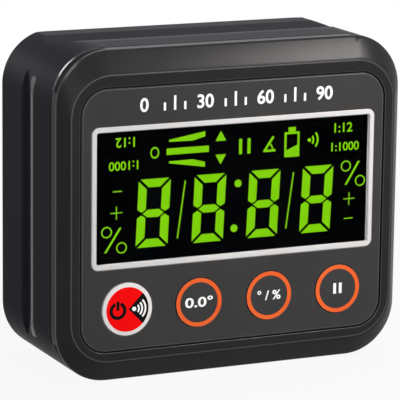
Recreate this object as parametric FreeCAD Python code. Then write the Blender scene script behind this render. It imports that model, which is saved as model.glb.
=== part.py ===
# Digital inclinometer: a pocket angle gauge in a moulded case, with a lit display, four keys,
# V-grooved edges, a magnetic base and a battery door at the back.
# X runs to the right, Y from the face to the back, Z up. The origin lies on the base plane,
# below the middle of the gauge. All lengths are in millimetres.
import FreeCAD
import Part
import math
import os

os.makedirs("parts", exist_ok=True)
Vector = FreeCAD.Vector

# Case
body_width = 70.0
body_height = 62.0
body_depth = 29.8
corner_radius = 10.0
side_wall = 2.2
base_wall = 3.0
back_wall = 2.2
front_wall = 2.4
back_edge_bevel = 0.4

# Front cover
bevel_depth = 2.0
bevel_side = 1.85
bevel_top = 4.15
bevel_bottom = 3.85
bezel_radius = 8.0
bezel_edge_setback = 0.3
bezel_edge_depth = 0.14
rim_edge_rise = 0.2
rim_edge_depth = 0.3
rim_depth = 2.75
seam_bevel = 0.3
tongue_thickness = 1.0
tongue_length = 1.5
seam_clearance = 0.1

# Face panel
border_side = 2.3
border_top = 2.75
border_bottom = 2.25
panel_radius = 5.0
panel_thickness = 0.9
panel_gap = 0.3
panel_edge = 0.15

# Display
frame_inset = 1.95
frame_bottom = 21.5
frame_top_inset = 7.0
frame_width = 1.0
frame_radius = 1.4
frame_proud = 0.1
frame_edge = 0.15
window_recess = 0.1
window_thickness = 0.6
window_gap = 0.1
glass_thickness = 2.2
strip_thickness = 1.8
strip_gap = 0.2
strip_end_gap = 2.6
holder_wall = 1.2

# Keys
key_height = 13.8
key_end_inset = 9.1
ring_key_radius = 4.7
power_key_radius = 5.05
key_proud = 0.2
key_gap = 0.1
key_travel = 0.4
key_edge = 0.25
flange_room_share = 0.17
flange_thickness = 0.8
plunger_half_width = 1.2
plunger_length = 2.1
plunger_gap = 0.06
switch_size = 6.0
switch_height = 1.8
switch_edge = 0.4
well_gap = 0.2

# Circuit board
board_setback = 6.2
board_thickness = 1.2
board_side_gap = 2.3
board_end_gap = 3.0
board_notch_gap = 0.4
controller_size = 9.0
controller_thickness = 1.4
controller_side_inset = 22.5
controller_drop = 18.0
lead_count = 8
lead_width = 0.35
lead_length = 0.9
lead_thickness = 0.2
chip_bevel = 0.15
sensor_size = 3.0
sensor_thickness = 1.0
sensor_side_inset = 20.5
sensor_drop = 25.0
buzzer_radius = 4.5
buzzer_height = 2.5
buzzer_hole_radius = 1.0
buzzer_hole_depth = 1.0
buzzer_post_gap = 2.1
buzzer_rise = 6.0

# Screws
case_screw_inset = 6.7
case_screw_rise = 7.7
case_screw_radius = 1.1
case_screw_length = 10.0
case_head_radius = 2.3
case_head_height = 1.6
post_radius = 2.7
post_reach = 12.0
boss_radius = 3.6
boss_web = 2.5
screw_clearance = 0.2
pilot_clearance = 0.02
rod_sides = 12
board_screw_radius = 0.8
board_screw_length = 4.2
board_head_radius = 1.6
board_head_height = 1.0
board_post_radius = 1.8
board_screw_inset = 6.6
board_screw_height = 18.9

# Battery cells, size AAA
cell_radius = 5.25
cell_length = 44.5
nub_radius = 1.9
nub_length = 0.8
cell_pitch = 11.2
cell_gap = 0.3
cell_floor_gap = 0.1
spring_length = 4.5
spring_gap = 0.1
spring_base_radius = 3.4
spring_tip_radius = 2.1
spring_wire_radius = 0.25
spring_turns = 2
contact_thickness = 0.4
contact_half_width = 4.2
contact_tail_half_width = 1.0
contact_slot_gap = 0.15
contact_zone = 6.0

# Battery tray and door
tray_floor = 1.4
tray_side_wall = 3.2
tray_end_wall = 2.4
door_ledge = 1.2
door_side_ledge = 1.0
door_thickness = 1.8
door_gap = 0.15
door_seat_gap = 0.1
door_cell_gap = 0.3
door_corner_radius = 2.0
hinge_radius = 1.6
hinge_gap = 0.2
hinge_rise_gap = 0.3
hinge_pin_radius = 0.9
hinge_pin_length = 1.4
hinge_pin_gap = 0.08
door_rib_height = 1.5
door_rib_half_width = 0.6
door_rib_end_gap = 3.0
latch_half_width = 4.0
latch_thickness = 1.0
latch_reach = 1.8
latch_gap = 0.3
notch_radius = 9.0
notch_half_width = 7.0
notch_depth = 1.1
grip_count = 4
grip_half_width = 7.0
grip_half_height = 0.5
grip_depth = 0.4
grip_pitch = 1.7
grip_inset = 2.4

# V-grooves along the four edges, measured back from the face
long_groove_front = 13.6
long_groove_valley = 20.0
long_groove_back = 25.0
long_groove_depth = 1.2
long_shoulder = 2.2
top_back_drop = 0.5
side_groove_front = 14.4
side_groove_valley = 18.8
side_groove_back = 19.0
side_groove_depth = 1.05
side_shoulder = 0.6
valley_softening = 0.25
back_lip = 0.4

# Base magnets
magnet_radius = 3.0
magnet_thickness = 2.0
magnet_recess = 0.1
magnet_gap = 0.05
magnet_setback = 9.9
magnet_side_inset = 13.0

# Making
overrun = 1.0
match_tolerance = 0.001

# Levels along Y
face_y = key_proud - (body_depth + key_proud) / 2
back_y = face_y + body_depth
bevel_y = face_y + bevel_depth
seam_y = bevel_y + rim_depth
wall_y = face_y + front_wall
panel_back_y = face_y + panel_thickness
board_y = face_y + board_setback
board_back_y = board_y + board_thickness
window_y = face_y + window_recess
glass_y = window_y + window_thickness
glass_back_y = glass_y + glass_thickness
flange_y = wall_y + key_gap
flange_back_y = flange_y + flange_thickness
switch_y = board_y - switch_height
plunger_back_y = flange_back_y + plunger_length
post_y = face_y + post_reach
screw_seat_y = post_y + boss_web
inner_back_y = back_y - back_wall
door_y = back_y - door_thickness
cell_y = door_y - door_cell_gap - cell_radius
tray_bed_y = cell_y - cell_radius - cell_floor_gap
tray_y = tray_bed_y - tray_floor
hinge_y = back_y - hinge_radius

# Places along X and Z
case_screw_x = body_width / 2 - case_screw_inset
case_screw_heights = [case_screw_rise, body_height - case_screw_rise]
cell_mid_z = body_height / 2
cell_heights = [cell_mid_z - cell_pitch / 2, cell_mid_z + cell_pitch / 2]
tray_half_length = cell_length / 2 + contact_thickness + (spring_length + 2 * spring_gap) / 2
tray_low_z = cell_heights[0] - cell_radius - cell_gap
tray_high_z = cell_heights[1] + cell_radius + cell_gap
door_half_width = tray_half_length + door_side_ledge
door_top_z = tray_high_z + door_ledge
hinge_z = tray_low_z - hinge_rise_gap - hinge_radius
door_low_z = hinge_z - hinge_radius
key_names = ["power", "zero", "mode", "hold"]
key_radii = {name: ring_key_radius for name in key_names}
key_radii["power"] = power_key_radius


def unit(vector):
    return vector * (1 / vector.Length)


# Arc that touches the straight runs start-corner and corner-end, whose lengths are equal.
def corner_arc(start, corner, end):
    leg = (start - corner).Length
    bisector = unit(unit(start - corner) + unit(end - corner))
    cosine = unit(start - corner).dot(bisector)
    sine = math.sqrt(1 - cosine * cosine)
    radius = leg * sine / cosine
    middle = corner + bisector * (leg / cosine - radius)
    return Part.Arc(start, middle, end).toShape()


# Closed outline of straight runs, each corner rounded from its setback on either side.
def rounded_wire(corners, setbacks):
    count = len(corners)
    arrivals = []
    departures = []
    for index in range(count):
        corner = corners[index]
        before = unit(corners[index - 1] - corner)
        after = unit(corners[(index + 1) % count] - corner)
        arrivals.append(corner + before * setbacks[index])
        departures.append(corner + after * setbacks[index])
    edges = []
    for index in range(count):
        if setbacks[index] > 0:
            edges.append(corner_arc(arrivals[index], corners[index], departures[index]))
        following = arrivals[(index + 1) % count]
        if (following - departures[index]).Length > match_tolerance:
            edges.append(Part.makeLine(departures[index], following))
    return Part.Wire(edges)


# Upright rectangle with rounded corners, centred on the gauge's middle plane.
class Outline:
    def __init__(self, width, bottom, top, radius):
        self.width = width
        self.bottom = bottom
        self.top = top
        self.radius = radius

    def grown(self, amount):
        width = self.width + 2 * amount
        return Outline(width, self.bottom - amount, self.top + amount, self.radius + amount)

    def wire(self, y):
        half = self.width / 2
        low_left = Vector(-half, y, self.bottom)
        low_right = Vector(half, y, self.bottom)
        high_right = Vector(half, y, self.top)
        high_left = Vector(-half, y, self.top)
        return rounded_wire([low_left, low_right, high_right, high_left], [self.radius] * 4)

    def slab(self, front, back):
        return Part.Face(self.wire(front)).extrude(Vector(0, back - front, 0))


body_outline = Outline(body_width, 0, body_height, corner_radius)
bezel_outline = Outline(body_width - 2 * bevel_side, bevel_bottom, body_height - bevel_top, bezel_radius)
cavity_outline = Outline(
    body_width - 2 * side_wall, base_wall, body_height - base_wall, corner_radius - side_wall)
panel_outline = Outline(
    bezel_outline.width - 2 * border_side,
    bezel_outline.bottom + border_bottom,
    bezel_outline.top - border_top,
    panel_radius)
frame_outline = Outline(
    panel_outline.width - 2 * frame_inset, frame_bottom, panel_outline.top - frame_top_inset, frame_radius)
opening_outline = frame_outline.grown(-frame_width)
glass_outline = opening_outline.grown(-window_gap)
holder_outline = glass_outline.grown(window_gap + holder_wall)
board_outline = Outline(
    cavity_outline.width - 2 * board_side_gap,
    cavity_outline.bottom + board_end_gap,
    cavity_outline.top - board_end_gap,
    cavity_outline.radius - board_side_gap)
board_screw_x = body_width / 2 - board_screw_inset
board_screw_places = [(-board_screw_x, board_screw_height), (board_screw_x, board_screw_height)]
case_screw_places = [(side * case_screw_x, height) for side in (-1, 1) for height in case_screw_heights]
key_count = len(key_names)
key_pitch = (panel_outline.width - 2 * key_end_inset) / (key_count - 1)
key_places = {name: (index - (key_count - 1) / 2) * key_pitch for index, name in enumerate(key_names)}
key_flange = flange_room_share * (key_pitch - ring_key_radius - power_key_radius)
controller_x = board_outline.width / 2 - controller_side_inset
controller_z = board_outline.top - controller_drop
sensor_x = sensor_side_inset - board_outline.width / 2
sensor_z = board_outline.top - sensor_drop
buzzer_x = post_radius + buzzer_post_gap + buzzer_radius - case_screw_x
buzzer_z = board_outline.bottom + buzzer_rise
magnet_x = body_width / 2 - magnet_side_inset


def block(x_low, x_high, y_low, y_high, z_low, z_high):
    return Part.makeBox(x_high - x_low, y_high - y_low, z_high - z_low, Vector(x_low, y_low, z_low))


def rod_along_y(radius, front, back, x, z):
    return Part.makeCylinder(radius, back - front, Vector(x, front, z), Vector(0, 1, 0))


# Rod with flat sides along Y, for the screws and for what holds them inside the case.
def sided_rod(radius, front, back, x, z):
    corners = []
    for index in range(rod_sides):
        angle = index * 2 * math.pi / rod_sides
        corners.append(Vector(x + radius * math.cos(angle), front, z + radius * math.sin(angle)))
    return Part.Face(Part.makePolygon(corners + corners[:1])).extrude(Vector(0, back - front, 0))


def rod_along_x(radius, left, right, y, z):
    return Part.makeCylinder(radius, right - left, Vector(left, y, z), Vector(1, 0, 0))


# Solid of revolution about an axis along Y through x, z. Each profile point is a radius and a level.
def turned(profile, x, z):
    corners = [Vector(radius, level, 0) for radius, level in profile]
    face = Part.Face(Part.makePolygon(corners + corners[:1]))
    solid = face.revolve(Vector(0, 0, 0), Vector(0, 1, 0), 360)
    solid.translate(Vector(x, 0, z))
    return solid


# Edges that lie wholly on the level y.
def edges_on_level(shape, y):
    found = []
    for edge in shape.Edges:
        box = edge.BoundBox
        if abs(box.YMin - y) < match_tolerance and abs(box.YMax - y) < match_tolerance:
            found.append(edge)
    return found


def joined(solids):
    whole = solids[0]
    for solid in solids[1:]:
        whole = whole.fuse(solid)
    return whole.removeSplitter()


# V-groove cutter. The face point lies on the grooved face, inward points into the case, and the
# cutter runs as far as the vector along. Both lips roll over in an arc, and the back one may lie lower.
def groove_cutter(face_point, inward, along, front, valley, back, depth, shoulder, back_drop):
    def place(setback, down):
        return face_point + Vector(0, face_y + setback, 0) + inward * down
    corners = [
        place(front - shoulder, -overrun),
        place(front - shoulder, 0),
        place(front, 0),
        place(valley, depth),
        place(back, back_drop),
        place(back + back_lip, back_drop),
        place(back + back_lip, -overrun)]
    wire = rounded_wire(corners, [0, 0, shoulder, valley_softening, back_lip, 0, 0])
    return Part.Face(wire).extrude(along)


# Grooves across the top and the base, and the lower strip of the top behind its groove.
def long_groove_cutters():
    start = -body_width / 2 - overrun
    along = Vector(body_width + 2 * overrun, 0, 0)
    sizes = (long_groove_front, long_groove_valley, long_groove_back, long_groove_depth, long_shoulder)
    top = groove_cutter(Vector(start, 0, body_height), Vector(0, 0, -1), along, *sizes, top_back_drop)
    bottom = groove_cutter(Vector(start, 0, 0), Vector(0, 0, 1), along, *sizes, 0)
    strip = block(
        start, start + along.x, face_y + long_groove_back + back_lip, back_y + overrun,
        body_height - top_back_drop, body_height + overrun)
    return [top, bottom, strip]


def side_groove_cutters():
    along = Vector(0, 0, body_height + 2 * overrun)
    sizes = (side_groove_front, side_groove_valley, side_groove_back, side_groove_depth, side_shoulder)
    left = groove_cutter(Vector(-body_width / 2, 0, -overrun), Vector(1, 0, 0), along, *sizes, 0)
    right = groove_cutter(Vector(body_width / 2, 0, -overrun), Vector(-1, 0, 0), along, *sizes, 0)
    return [left, right]


# Outline of the bevel at a depth behind the face. It widens evenly from the bezel to the body.
def bevel_section(depth):
    share = depth / bevel_depth
    outline = Outline(
        bezel_outline.width + (body_outline.width - bezel_outline.width) * share,
        bezel_outline.bottom + (body_outline.bottom - bezel_outline.bottom) * share,
        bezel_outline.top + (body_outline.top - bezel_outline.top) * share,
        bezel_outline.radius + (body_outline.radius - bezel_outline.radius) * share)
    return outline.wire(face_y + depth)


# Bevelled face part with a straight rim, and a tongue that enters the rear housing.
def front_cover():
    rim_y = bevel_y + rim_edge_depth
    sections = [
        bezel_outline.grown(-bezel_edge_setback).wire(face_y),
        bevel_section(bezel_edge_depth),
        bevel_section(bevel_depth - rim_edge_rise),
        body_outline.wire(rim_y)]
    bevel = Part.makeLoft(sections, True, True)
    shell = joined([bevel, body_outline.slab(rim_y, seam_y)])
    shell = shell.makeChamfer(seam_bevel, edges_on_level(shell, seam_y))
    tongue = cavity_outline.grown(tongue_thickness).slab(seam_y, seam_y + tongue_length)
    shell = joined([shell, tongue])
    shell = shell.cut(cavity_outline.slab(wall_y, seam_y + tongue_length + overrun))
    posts = [sided_rod(post_radius, wall_y, post_y, x, z) for x, z in case_screw_places]
    posts += [sided_rod(board_post_radius, wall_y, board_y, x, z) for x, z in board_screw_places]
    shell = joined([shell] + posts)
    cuts = [panel_outline.grown(panel_gap).slab(face_y - overrun, panel_back_y)]
    cuts.append(opening_outline.slab(face_y, wall_y + overrun))
    for name in key_names:
        hole_radius = key_radii[name] + key_gap
        cuts.append(rod_along_y(hole_radius, face_y, wall_y + overrun, key_places[name], key_height))
    for x, z in case_screw_places:
        pilot_y = screw_seat_y - case_screw_length - screw_clearance
        cuts.append(sided_rod(case_screw_radius + pilot_clearance, pilot_y, post_y + overrun, x, z))
    for x, z in board_screw_places:
        pilot_y = board_back_y - board_screw_length - screw_clearance
        cuts.append(sided_rod(board_screw_radius + pilot_clearance, pilot_y, board_y + overrun, x, z))
    return shell.cut(cuts)


# Room for the two cells: a round bed under each, a straight shaft above them and square end zones.
def cell_room():
    bed_half = tray_half_length - contact_zone
    room = [
        rod_along_x(cell_radius + cell_floor_gap, -bed_half, bed_half, cell_y, z)
        for z in cell_heights]
    room.append(block(-tray_half_length, tray_half_length, cell_y, back_y, tray_low_z, tray_high_z))
    for side in (-1, 1):
        ends = sorted([side * bed_half, side * tray_half_length])
        room.append(block(ends[0], ends[1], tray_bed_y, back_y, tray_low_z, tray_high_z))
    return joined(room)


# Outline of the door and of its pocket: square below, where the hinge is, and rounded above.
def door_shape(gap, low_z, front, back):
    half = door_half_width + gap
    corners = [
        Vector(-half, front, low_z),
        Vector(half, front, low_z),
        Vector(half, front, door_top_z + gap),
        Vector(-half, front, door_top_z + gap)]
    wire = rounded_wire(corners, [0, 0, door_corner_radius, door_corner_radius])
    return Part.Face(wire).extrude(Vector(0, back - front, 0))


def door_pocket():
    pocket = door_shape(door_gap, door_low_z - hinge_gap, door_y - door_seat_gap, back_y + overrun)
    half = door_half_width + door_gap
    barrel_room = block(
        -half, half, hinge_y - hinge_radius - hinge_gap, back_y, door_low_z - hinge_gap, tray_low_z)
    pin_half = door_half_width + hinge_pin_length + hinge_pin_gap
    pin_room = rod_along_x(hinge_pin_radius + hinge_pin_gap, -pin_half, pin_half, hinge_y, hinge_z)
    return joined([pocket, barrel_room, pin_room])


def rear_housing():
    shell = body_outline.slab(seam_y, back_y)
    shell = shell.makeChamfer(seam_bevel, edges_on_level(shell, seam_y))
    shell = shell.makeChamfer(back_edge_bevel, edges_on_level(shell, back_y))
    shell = shell.cut(long_groove_cutters() + side_groove_cutters())
    tray_half = door_half_width + tray_side_wall
    tray = block(
        -tray_half, tray_half, tray_y, back_y, door_low_z - tray_end_wall, door_top_z + tray_end_wall)
    bosses = [sided_rod(boss_radius, post_y, back_y, x, z) for x, z in case_screw_places]
    hollow = cavity_outline.slab(seam_y - overrun, inner_back_y)
    hollow = hollow.cut([tray] + bosses)
    tongue_room = cavity_outline.grown(tongue_thickness + seam_clearance)
    cuts = [hollow, tongue_room.slab(seam_y - overrun, seam_y + tongue_length + seam_clearance)]
    cuts += [cell_room(), door_pocket()]
    for x, z in case_screw_places:
        cuts.append(rod_along_y(case_head_radius + screw_clearance, screw_seat_y, back_y + overrun, x, z))
        cuts.append(sided_rod(case_screw_radius + screw_clearance, post_y - overrun, screw_seat_y, x, z))
    for x in (-magnet_x, 0, magnet_x):
        pocket_height = magnet_thickness + magnet_recess
        foot = Vector(x, face_y + magnet_setback, -overrun)
        cuts.append(Part.makeCylinder(magnet_radius + magnet_gap, pocket_height + overrun, foot))
    notch_y = back_y + notch_radius - notch_depth
    cuts.append(rod_along_x(notch_radius, -notch_half_width, notch_half_width, notch_y, door_top_z))
    for z in cell_heights:
        cuts.append(tail_strip(z, contact_slot_gap))
    return shell.cut(cuts)


def overlay_panel():
    sheet = panel_outline.slab(face_y, panel_back_y)
    sheet = sheet.makeChamfer(panel_edge, edges_on_level(sheet, face_y))
    low = face_y - overrun
    high = panel_back_y + overrun
    cuts = [frame_outline.slab(low, high)]
    for name in key_names:
        cuts.append(rod_along_y(key_radii[name] + key_gap, low, high, key_places[name], key_height))
    return sheet.cut(cuts)


# Light trim round the display. It stands on the floor of the cover's recess.
def display_frame():
    front = face_y - frame_proud
    opening = opening_outline.slab(front - overrun, panel_back_y + overrun)
    ring = frame_outline.slab(front, panel_back_y).cut(opening)
    return ring.makeChamfer(frame_edge, edges_on_level(ring, front))


def display_window():
    return glass_outline.slab(window_y, glass_y)


def lcd_glass():
    return glass_outline.slab(glass_y, glass_back_y)


def backlight_block():
    inset = strip_thickness + strip_gap
    half = glass_outline.width / 2
    return block(
        -half, half, glass_back_y, board_y, glass_outline.bottom + inset, glass_outline.top - inset)


# Two rubber strips that join the glass to the board, above and below the backlight.
def contact_strips():
    half = glass_outline.width / 2 - strip_end_gap
    bottom = glass_outline.bottom
    top = glass_outline.top
    lower = block(-half, half, glass_back_y, board_y, bottom, bottom + strip_thickness)
    upper = block(-half, half, glass_back_y, board_y, top - strip_thickness, top)
    return Part.makeCompound([lower, upper])


def display_holder():
    inside = glass_outline.grown(window_gap)
    return holder_outline.slab(wall_y, board_y).cut(inside.slab(wall_y - overrun, board_y + overrun))


def circuit_board():
    board = board_outline.slab(board_y, board_back_y)
    low = board_y - overrun
    high = board_back_y + overrun
    hole_radius = board_screw_radius + screw_clearance
    cuts = [sided_rod(hole_radius, low, high, x, z) for x, z in board_screw_places]
    reach = post_radius + board_notch_gap
    for x, z in case_screw_places:
        cuts.append(block(x - reach, x + reach, low, high, z - reach, z + reach))
    return board.cut(cuts)


def chip(size, thickness, x, z):
    half = size / 2
    body = block(x - half, x + half, board_back_y, board_back_y + thickness, z - half, z + half)
    return body.makeChamfer(chip_bevel, edges_on_level(body, board_back_y + thickness))


def tilt_sensor():
    return chip(sensor_size, sensor_thickness, sensor_x, sensor_z)


# Square controller with a row of flat leads on each of its four sides.
def controller_chip():
    half = controller_size / 2
    solids = [chip(controller_size, controller_thickness, controller_x, controller_z)]
    pitch = controller_size / (lead_count + 1)
    top_y = board_back_y + lead_thickness
    for index in range(lead_count):
        middle = (index + 1) * pitch - half
        low = middle - lead_width / 2
        high = middle + lead_width / 2
        for side in (-1, 1):
            ends = sorted([side * half, side * (half + lead_length)])
            solids.append(block(
                controller_x + ends[0], controller_x + ends[1], board_back_y, top_y,
                controller_z + low, controller_z + high))
            solids.append(block(
                controller_x + low, controller_x + high, board_back_y, top_y,
                controller_z + ends[0], controller_z + ends[1]))
    return joined(solids)


def buzzer():
    back = board_back_y + buzzer_height
    hole_y = back - buzzer_hole_depth
    can = rod_along_y(buzzer_radius, board_back_y, back, buzzer_x, buzzer_z)
    return can.cut(rod_along_y(buzzer_hole_radius, hole_y, back + overrun, buzzer_x, buzzer_z))


# Four switch bodies on the face side of the board, each with a square well for its plunger.
def key_switches():
    solids = []
    half = switch_size / 2
    for name in key_names:
        x = key_places[name]
        body = block(x - half, x + half, switch_y, board_y, key_height - half, key_height + half)
        body = body.makeChamfer(switch_edge, edges_on_level(body, switch_y))
        floor_y = plunger_back_y + key_travel + well_gap
        solids.append(body.cut(plunger_block(name, plunger_gap, switch_y - overrun, floor_y)))
    return Part.makeCompound(solids)


# Key cap: a disc that stands a little proud of the face, with a flange behind the cover.
def key_cap(name):
    radius = key_radii[name]
    profile = [
        (0, face_y - key_proud),
        (radius - key_edge, face_y - key_proud),
        (radius, face_y - key_proud + key_edge),
        (radius, flange_y),
        (radius + key_flange, flange_y),
        (radius + key_flange, flange_back_y),
        (0, flange_back_y)]
    return turned(profile, key_places[name], key_height)


# Square peg behind a key. The gap widens it into its well.
def plunger_block(name, gap, front, back):
    x = key_places[name]
    half = plunger_half_width + gap
    return block(x - half, x + half, front, back, key_height - half, key_height + half)


def switch_plunger(name):
    return plunger_block(name, 0, flange_back_y, plunger_back_y)


# V-shaped grip grooves across the door, below the finger notch.
def grip_cutters():
    cutters = []
    for index in range(grip_count):
        z = door_top_z - grip_inset - index * grip_pitch
        corners = [
            Vector(-grip_half_width, back_y + overrun, z - grip_half_height),
            Vector(-grip_half_width, back_y, z - grip_half_height),
            Vector(-grip_half_width, back_y - grip_depth, z),
            Vector(-grip_half_width, back_y, z + grip_half_height),
            Vector(-grip_half_width, back_y + overrun, z + grip_half_height)]
        face = Part.Face(Part.makePolygon(corners + corners[:1]))
        cutters.append(face.extrude(Vector(2 * grip_half_width, 0, 0)))
    return cutters


def battery_door():
    slab = door_shape(0, hinge_z, door_y, back_y)
    barrel = rod_along_x(hinge_radius, -door_half_width, door_half_width, hinge_y, hinge_z)
    pin_half = door_half_width + hinge_pin_length
    pins = rod_along_x(hinge_pin_radius, -pin_half, pin_half, hinge_y, hinge_z)
    rib_half = tray_half_length - door_rib_end_gap
    rib = block(
        -rib_half, rib_half, door_y - door_rib_height, door_y,
        cell_mid_z - door_rib_half_width, cell_mid_z + door_rib_half_width)
    latch_top = tray_high_z - latch_gap
    latch = block(
        -latch_half_width, latch_half_width, door_y - latch_reach, door_y,
        latch_top - latch_thickness, latch_top)
    return joined([slab, barrel, pins, rib, latch]).cut(grip_cutters())


# Cell lying along X with its nub towards the given side.
def cell(z, side):
    shoulder = cell_length - nub_length
    profile = [
        (0, 0),
        (cell_radius, 0),
        (cell_radius, shoulder),
        (nub_radius, shoulder),
        (nub_radius, cell_length),
        (0, cell_length)]
    solid = turned(profile, 0, 0)
    solid.rotate(Vector(0, 0, 0), Vector(0, 0, 1), -90 * side)
    nub_x = tray_half_length - contact_thickness - spring_gap
    solid.translate(Vector(side * (nub_x - cell_length), cell_y, z))
    return solid


def contact_plate(side, low_z, high_z):
    ends = sorted([side * tray_half_length, side * (tray_half_length - contact_thickness)])
    return block(
        ends[0], ends[1], cell_y - contact_half_width, cell_y + contact_half_width,
        low_z - contact_half_width, high_z + contact_half_width)


# Tail of an end contact, from the tray to the circuit board. The gap widens it into its slot.
def tail_strip(z, gap):
    return block(
        tray_half_length - contact_thickness - gap, tray_half_length + gap,
        board_back_y, cell_y,
        z - contact_tail_half_width - gap, z + contact_tail_half_width + gap)


def link_contact():
    return contact_plate(-1, cell_heights[0], cell_heights[1])


def end_contacts():
    solids = [joined([contact_plate(1, z, z), tail_strip(z, 0)]) for z in cell_heights]
    return Part.makeCompound(solids)


# Two tangent arcs that join two points along their given directions.
def biarc(start, start_way, end, end_way):
    chord = end - start
    ways = start_way + end_way
    spread = 2 * (1 - start_way.dot(end_way))
    along = chord.dot(ways)
    leg = (math.sqrt(along * along + spread * chord.dot(chord)) - along) / spread
    first_corner = start + start_way * leg
    second_corner = end - end_way * leg
    meeting = (first_corner + second_corner) * 0.5
    return [corner_arc(start, first_corner, meeting), corner_arc(meeting, second_corner, end)]


# Four-sided section of the spring wire, square to the way in which the wire starts.
def wire_section(centre, way):
    upward = unit(Vector(1, 0, 0) - way * way.x)
    sideways = way.cross(upward)
    corners = []
    for index in range(4):
        angle = index * math.pi / 2
        corners.append(centre + (upward * math.cos(angle) + sideways * math.sin(angle)) * spring_wire_radius)
    return Part.makePolygon(corners + corners[:1])


# Tapered coil that stands on its contact plate, wide at the plate, with its axis along X.
def coil_spring(z, side):
    quarter_count = spring_turns * 4
    rise = spring_length - 2 * spring_wire_radius
    quarter_rise = rise / quarter_count
    radius_step = (spring_tip_radius - spring_base_radius) / quarter_count
    places = []
    ways = []
    for index in range(quarter_count + 1):
        angle = index * math.pi / 2
        radius = spring_base_radius + index * radius_step
        outward = Vector(0, math.cos(angle), math.sin(angle))
        around = Vector(0, -math.sin(angle), math.cos(angle))
        places.append(Vector(spring_wire_radius + index * quarter_rise, 0, 0) + outward * radius)
        advance = Vector(quarter_rise, 0, 0) + outward * radius_step
        ways.append(unit(around * (radius * math.pi / 2) + advance))
    edges = []
    for index in range(quarter_count):
        edges += biarc(places[index], ways[index], places[index + 1], ways[index + 1])
    profile = wire_section(places[0], ways[0])
    spring = Part.Wire(edges).makePipeShell([profile], True, False)
    plate_x = tray_half_length - contact_thickness
    if side > 0:
        spring.rotate(Vector(0, 0, 0), Vector(0, 0, 1), 180)
    spring.translate(Vector(side * plate_x, cell_y, z))
    return spring


def contact_springs():
    return Part.makeCompound([coil_spring(cell_heights[1], -1), coil_spring(cell_heights[0], 1)])


# Screw driven towards the face, with a flat head.
def screw(radius, length, head_radius, head_height, seat_y, x, z):
    shank = sided_rod(radius, seat_y - length, seat_y, x, z)
    head = sided_rod(head_radius, seat_y, seat_y + head_height, x, z)
    return joined([shank, head])


def case_screws():
    sizes = (case_screw_radius, case_screw_length, case_head_radius, case_head_height)
    return Part.makeCompound([screw(*sizes, screw_seat_y, x, z) for x, z in case_screw_places])


def board_screws():
    sizes = (board_screw_radius, board_screw_length, board_head_radius, board_head_height)
    return Part.makeCompound([screw(*sizes, board_back_y, x, z) for x, z in board_screw_places])


def base_magnets():
    solids = []
    for x in (-magnet_x, 0, magnet_x):
        foot = Vector(x, face_y + magnet_setback, magnet_recess)
        solids.append(Part.makeCylinder(magnet_radius, magnet_thickness, foot))
    return Part.makeCompound(solids)


pieces = {
    "front_cover": front_cover(),
    "rear_housing": rear_housing(),
    "overlay_panel": overlay_panel(),
    "display_frame": display_frame(),
    "display_window": display_window(),
    "lcd_glass": lcd_glass(),
    "backlight_block": backlight_block(),
    "display_holder": display_holder(),
    "contact_strips": contact_strips(),
    "circuit_board": circuit_board(),
    "tilt_sensor": tilt_sensor(),
    "controller_chip": controller_chip(),
    "buzzer": buzzer(),
    "key_switches": key_switches(),
    "battery_door": battery_door(),
    "upper_cell": cell(cell_heights[1], 1),
    "lower_cell": cell(cell_heights[0], -1),
    "link_contact": link_contact(),
    "end_contacts": end_contacts(),
    "contact_springs": contact_springs(),
    "case_screws": case_screws(),
    "board_screws": board_screws(),
    "base_magnets": base_magnets(),
}
for key_name in key_names:
    pieces[key_name + "_key"] = key_cap(key_name)
    pieces[key_name + "_plunger"] = switch_plunger(key_name)

for node, shape in pieces.items():
    shape.exportStep("parts/" + node + ".step")
    print(node, len(shape.Solids), shape.isValid(), round(shape.Volume, 3))
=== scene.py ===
import bpy
import bmesh
import math
from mathutils import Matrix, Vector


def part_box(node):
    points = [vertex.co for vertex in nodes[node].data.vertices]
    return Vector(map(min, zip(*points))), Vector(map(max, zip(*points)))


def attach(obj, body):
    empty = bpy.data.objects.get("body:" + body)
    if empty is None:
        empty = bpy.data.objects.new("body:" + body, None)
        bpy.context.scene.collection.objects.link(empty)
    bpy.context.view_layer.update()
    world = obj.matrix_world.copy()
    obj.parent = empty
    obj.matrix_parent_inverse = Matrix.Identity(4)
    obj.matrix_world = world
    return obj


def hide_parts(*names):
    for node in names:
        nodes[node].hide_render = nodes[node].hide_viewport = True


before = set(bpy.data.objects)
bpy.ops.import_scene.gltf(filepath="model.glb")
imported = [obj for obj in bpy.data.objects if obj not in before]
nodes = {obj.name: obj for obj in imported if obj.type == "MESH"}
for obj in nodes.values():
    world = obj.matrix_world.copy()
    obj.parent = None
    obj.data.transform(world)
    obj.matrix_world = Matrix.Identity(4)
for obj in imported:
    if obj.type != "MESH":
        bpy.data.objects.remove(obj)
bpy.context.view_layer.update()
scene = bpy.context.scene
mm = 0.001
print("case loaded,", len(nodes), "nodes")

# Levels along Y in millimetres, read from the case itself
levels = {
    "face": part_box("overlay_panel")[0].y / mm,
    "key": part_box("zero_key")[0].y / mm,
    "glass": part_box("lcd_glass")[0].y / mm,
    "cover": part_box("front_cover")[0].y / mm,
    "coverBack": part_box("front_cover")[1].y / mm + 0.01,  # just behind its rear end
}


# Node group with its inputs, given as label, kind and value, and its outputs, given as label and kind
def newGroup(name, inputs, outputs):
    group = bpy.data.node_groups.new(name, "ShaderNodeTree")
    for label, kind, value in inputs:
        socket = group.interface.new_socket(name=label, in_out="INPUT", socket_type="NodeSocket" + kind)
        if value is not None:
            socket.default_value = value
    for label, kind in outputs:
        group.interface.new_socket(name=label, in_out="OUTPUT", socket_type="NodeSocket" + kind)
    return group, group.nodes.new("NodeGroupInput"), group.nodes.new("NodeGroupOutput")


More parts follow.
